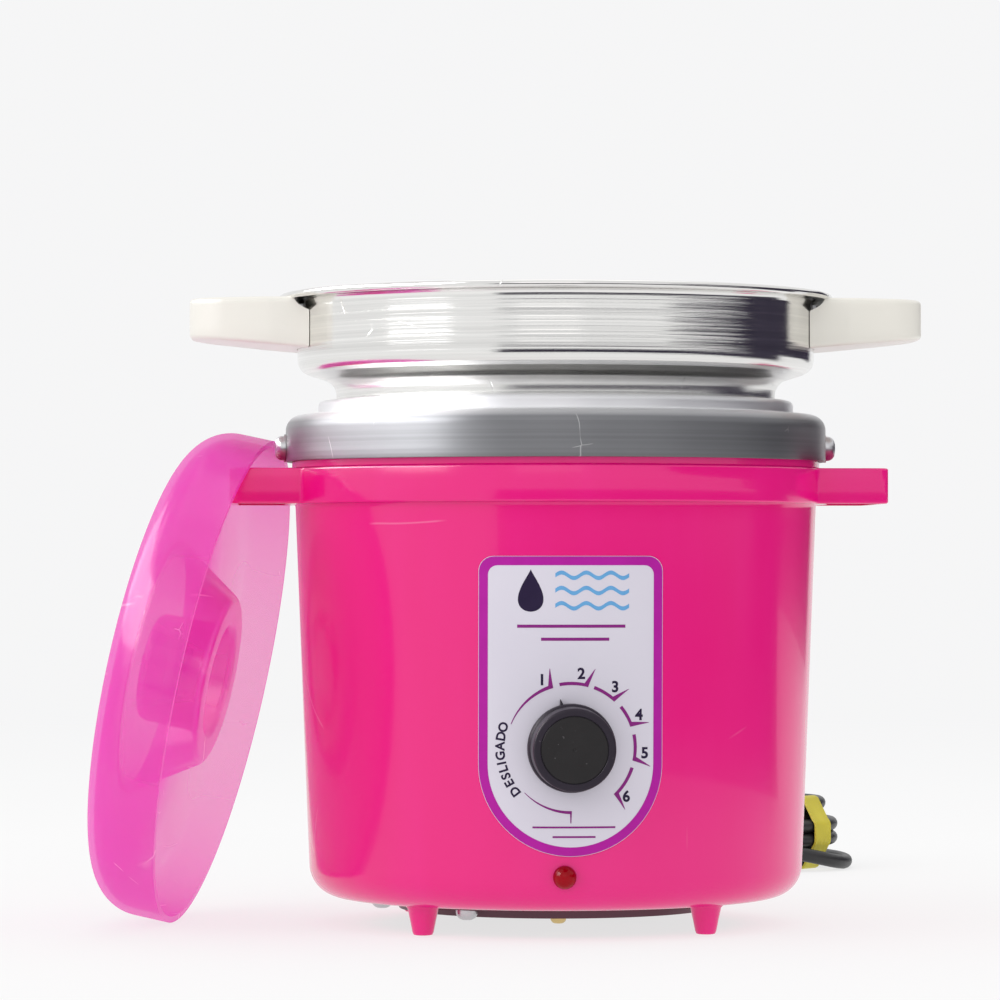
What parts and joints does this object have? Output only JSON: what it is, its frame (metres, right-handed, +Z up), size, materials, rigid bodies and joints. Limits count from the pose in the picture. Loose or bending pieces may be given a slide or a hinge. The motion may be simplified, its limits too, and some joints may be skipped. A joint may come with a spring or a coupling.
{
  "type": "wax warmer pot",
  "caption": "Electric wax warmer pot: pink plastic housing with a heated aluminium well, lift-out handled pan, leaning translucent lid, dial thermostat, lamp and coiled mains cord.",
  "frame": {"origin": "on the floor between the four feet, under the pot's own axis", "axes": "+Z up along the pot's axis, -Y to the front where the knob and label are, +X to the right-hand lug; the lid leans on the -X side"},
  "size_m": [0.2448, 0.3836, 0.1785],
  "materials": {
    "pink_plastic": "glossy hot-pink moulded plastic",
    "cover_plate": "dark painted sheet steel",
    "steel_fixings": "zinc-plated steel",
    "brass_terminal": "bare brass",
    "terminal_plastic": "off-white moulded plastic",
    "black_plastic": "satin black plastic",
    "knob_face": "fine-grained black plastic",
    "wire_insulation": "silicone-glass wire sleeving",
    "spun_aluminium": "spun aluminium with turning lines",
    "pan_aluminium": "polished spun aluminium with fine turning lines",
    "heater_mica": "mica band",
    "glass_felt": "glass-fibre felt",
    "shield_aluminium": "mill-finish aluminium",
    "copper_bulb": "bare copper",
    "fuse_metal": "plated metal case",
    "thermostat_metal": "plated pressed steel",
    "label_film": "printed satin film, lilac white with a purple border",
    "red_lens": "clear red lens",
    "lamp_glass": "neon lamp in a clear sleeve",
    "ivory_plastic": "ivory white moulded plastic",
    "lid_plastic": "translucent magenta plastic",
    "black_rubber": "moulded black rubber",
    "cord_pvc": "black sheathed cord",
    "yellow_tie": "yellow-olive strap",
    "plug_brass": "plated brass"
  },
  "bodies": {
    "base": {"housing": "pink_plastic", "foot_front_left": "pink_plastic", "foot_front_right": "pink_plastic", "foot_rear_left": "pink_plastic", "foot_rear_right": "pink_plastic", "bottom_cover": "cover_plate", "bottom_cover_screws": "steel_fixings", "earth_stud": "brass_terminal", "terminal_block": "terminal_plastic", "cord_clamp": "black_plastic", "wiring": "wire_insulation", "heating_well": "spun_aluminium", "collar_screw_left": "steel_fixings", "collar_screw_right": "steel_fixings", "collar_washer_left": "steel_fixings", "collar_washer_right": "steel_fixings", "heater_band": "heater_mica", "heater_band_screw": "steel_fixings", "insulation_blanket": "glass_felt", "heat_shield": "shield_aluminium", "heat_shield_nut": "steel_fixings", "sensor_bulb": "copper_bulb", "sensor_clip": "steel_fixings", "thermal_fuse": "fuse_metal", "thermostat_body": "thermostat_metal", "thermostat_screws": "steel_fixings", "label": "label_film", "lamp_lens": "red_lens", "lamp_body": "lamp_glass", "strain_relief": "black_rubber", "power_cord": "cord_pvc", "cord_coil": "cord_pvc", "cord_tail": "cord_pvc", "cord_tie": "yellow_tie", "plug_body": "black_rubber", "plug_pins": "plug_brass"},
    "knob": {"thermostat_shaft": "steel_fixings", "knob": "black_plastic", "knob_cap": "knob_face"},
    "pan": {"pan": "pan_aluminium", "pan_handle_left": "ivory_plastic", "pan_handle_right": "ivory_plastic", "handle_bracket_left": "steel_fixings", "handle_bracket_right": "steel_fixings", "handle_rivets_left": "steel_fixings", "handle_rivets_right": "steel_fixings", "handle_screw_left": "steel_fixings", "handle_screw_right": "steel_fixings"},
    "lid": {"lid": "lid_plastic"}
  },
  "joints": [
    {"name": "knob_turn", "type": "hinge", "parent": "base", "child": "knob", "pos_m": [0, -0.0727, 0.0526], "axis": [0, 1, 0], "range_deg": [-92, 148]},
    {"name": "pan_lift", "type": "slide", "parent": "base", "child": "pan", "axis": [0, 0, 1], "range_m": [0, 0.1]},
    {"name": "lid_lift_off", "type": "slide", "parent": "base", "child": "lid", "axis": [-0.9633, 0.1699, 0.2079], "range_m": [0, 0.1]}
  ]
}
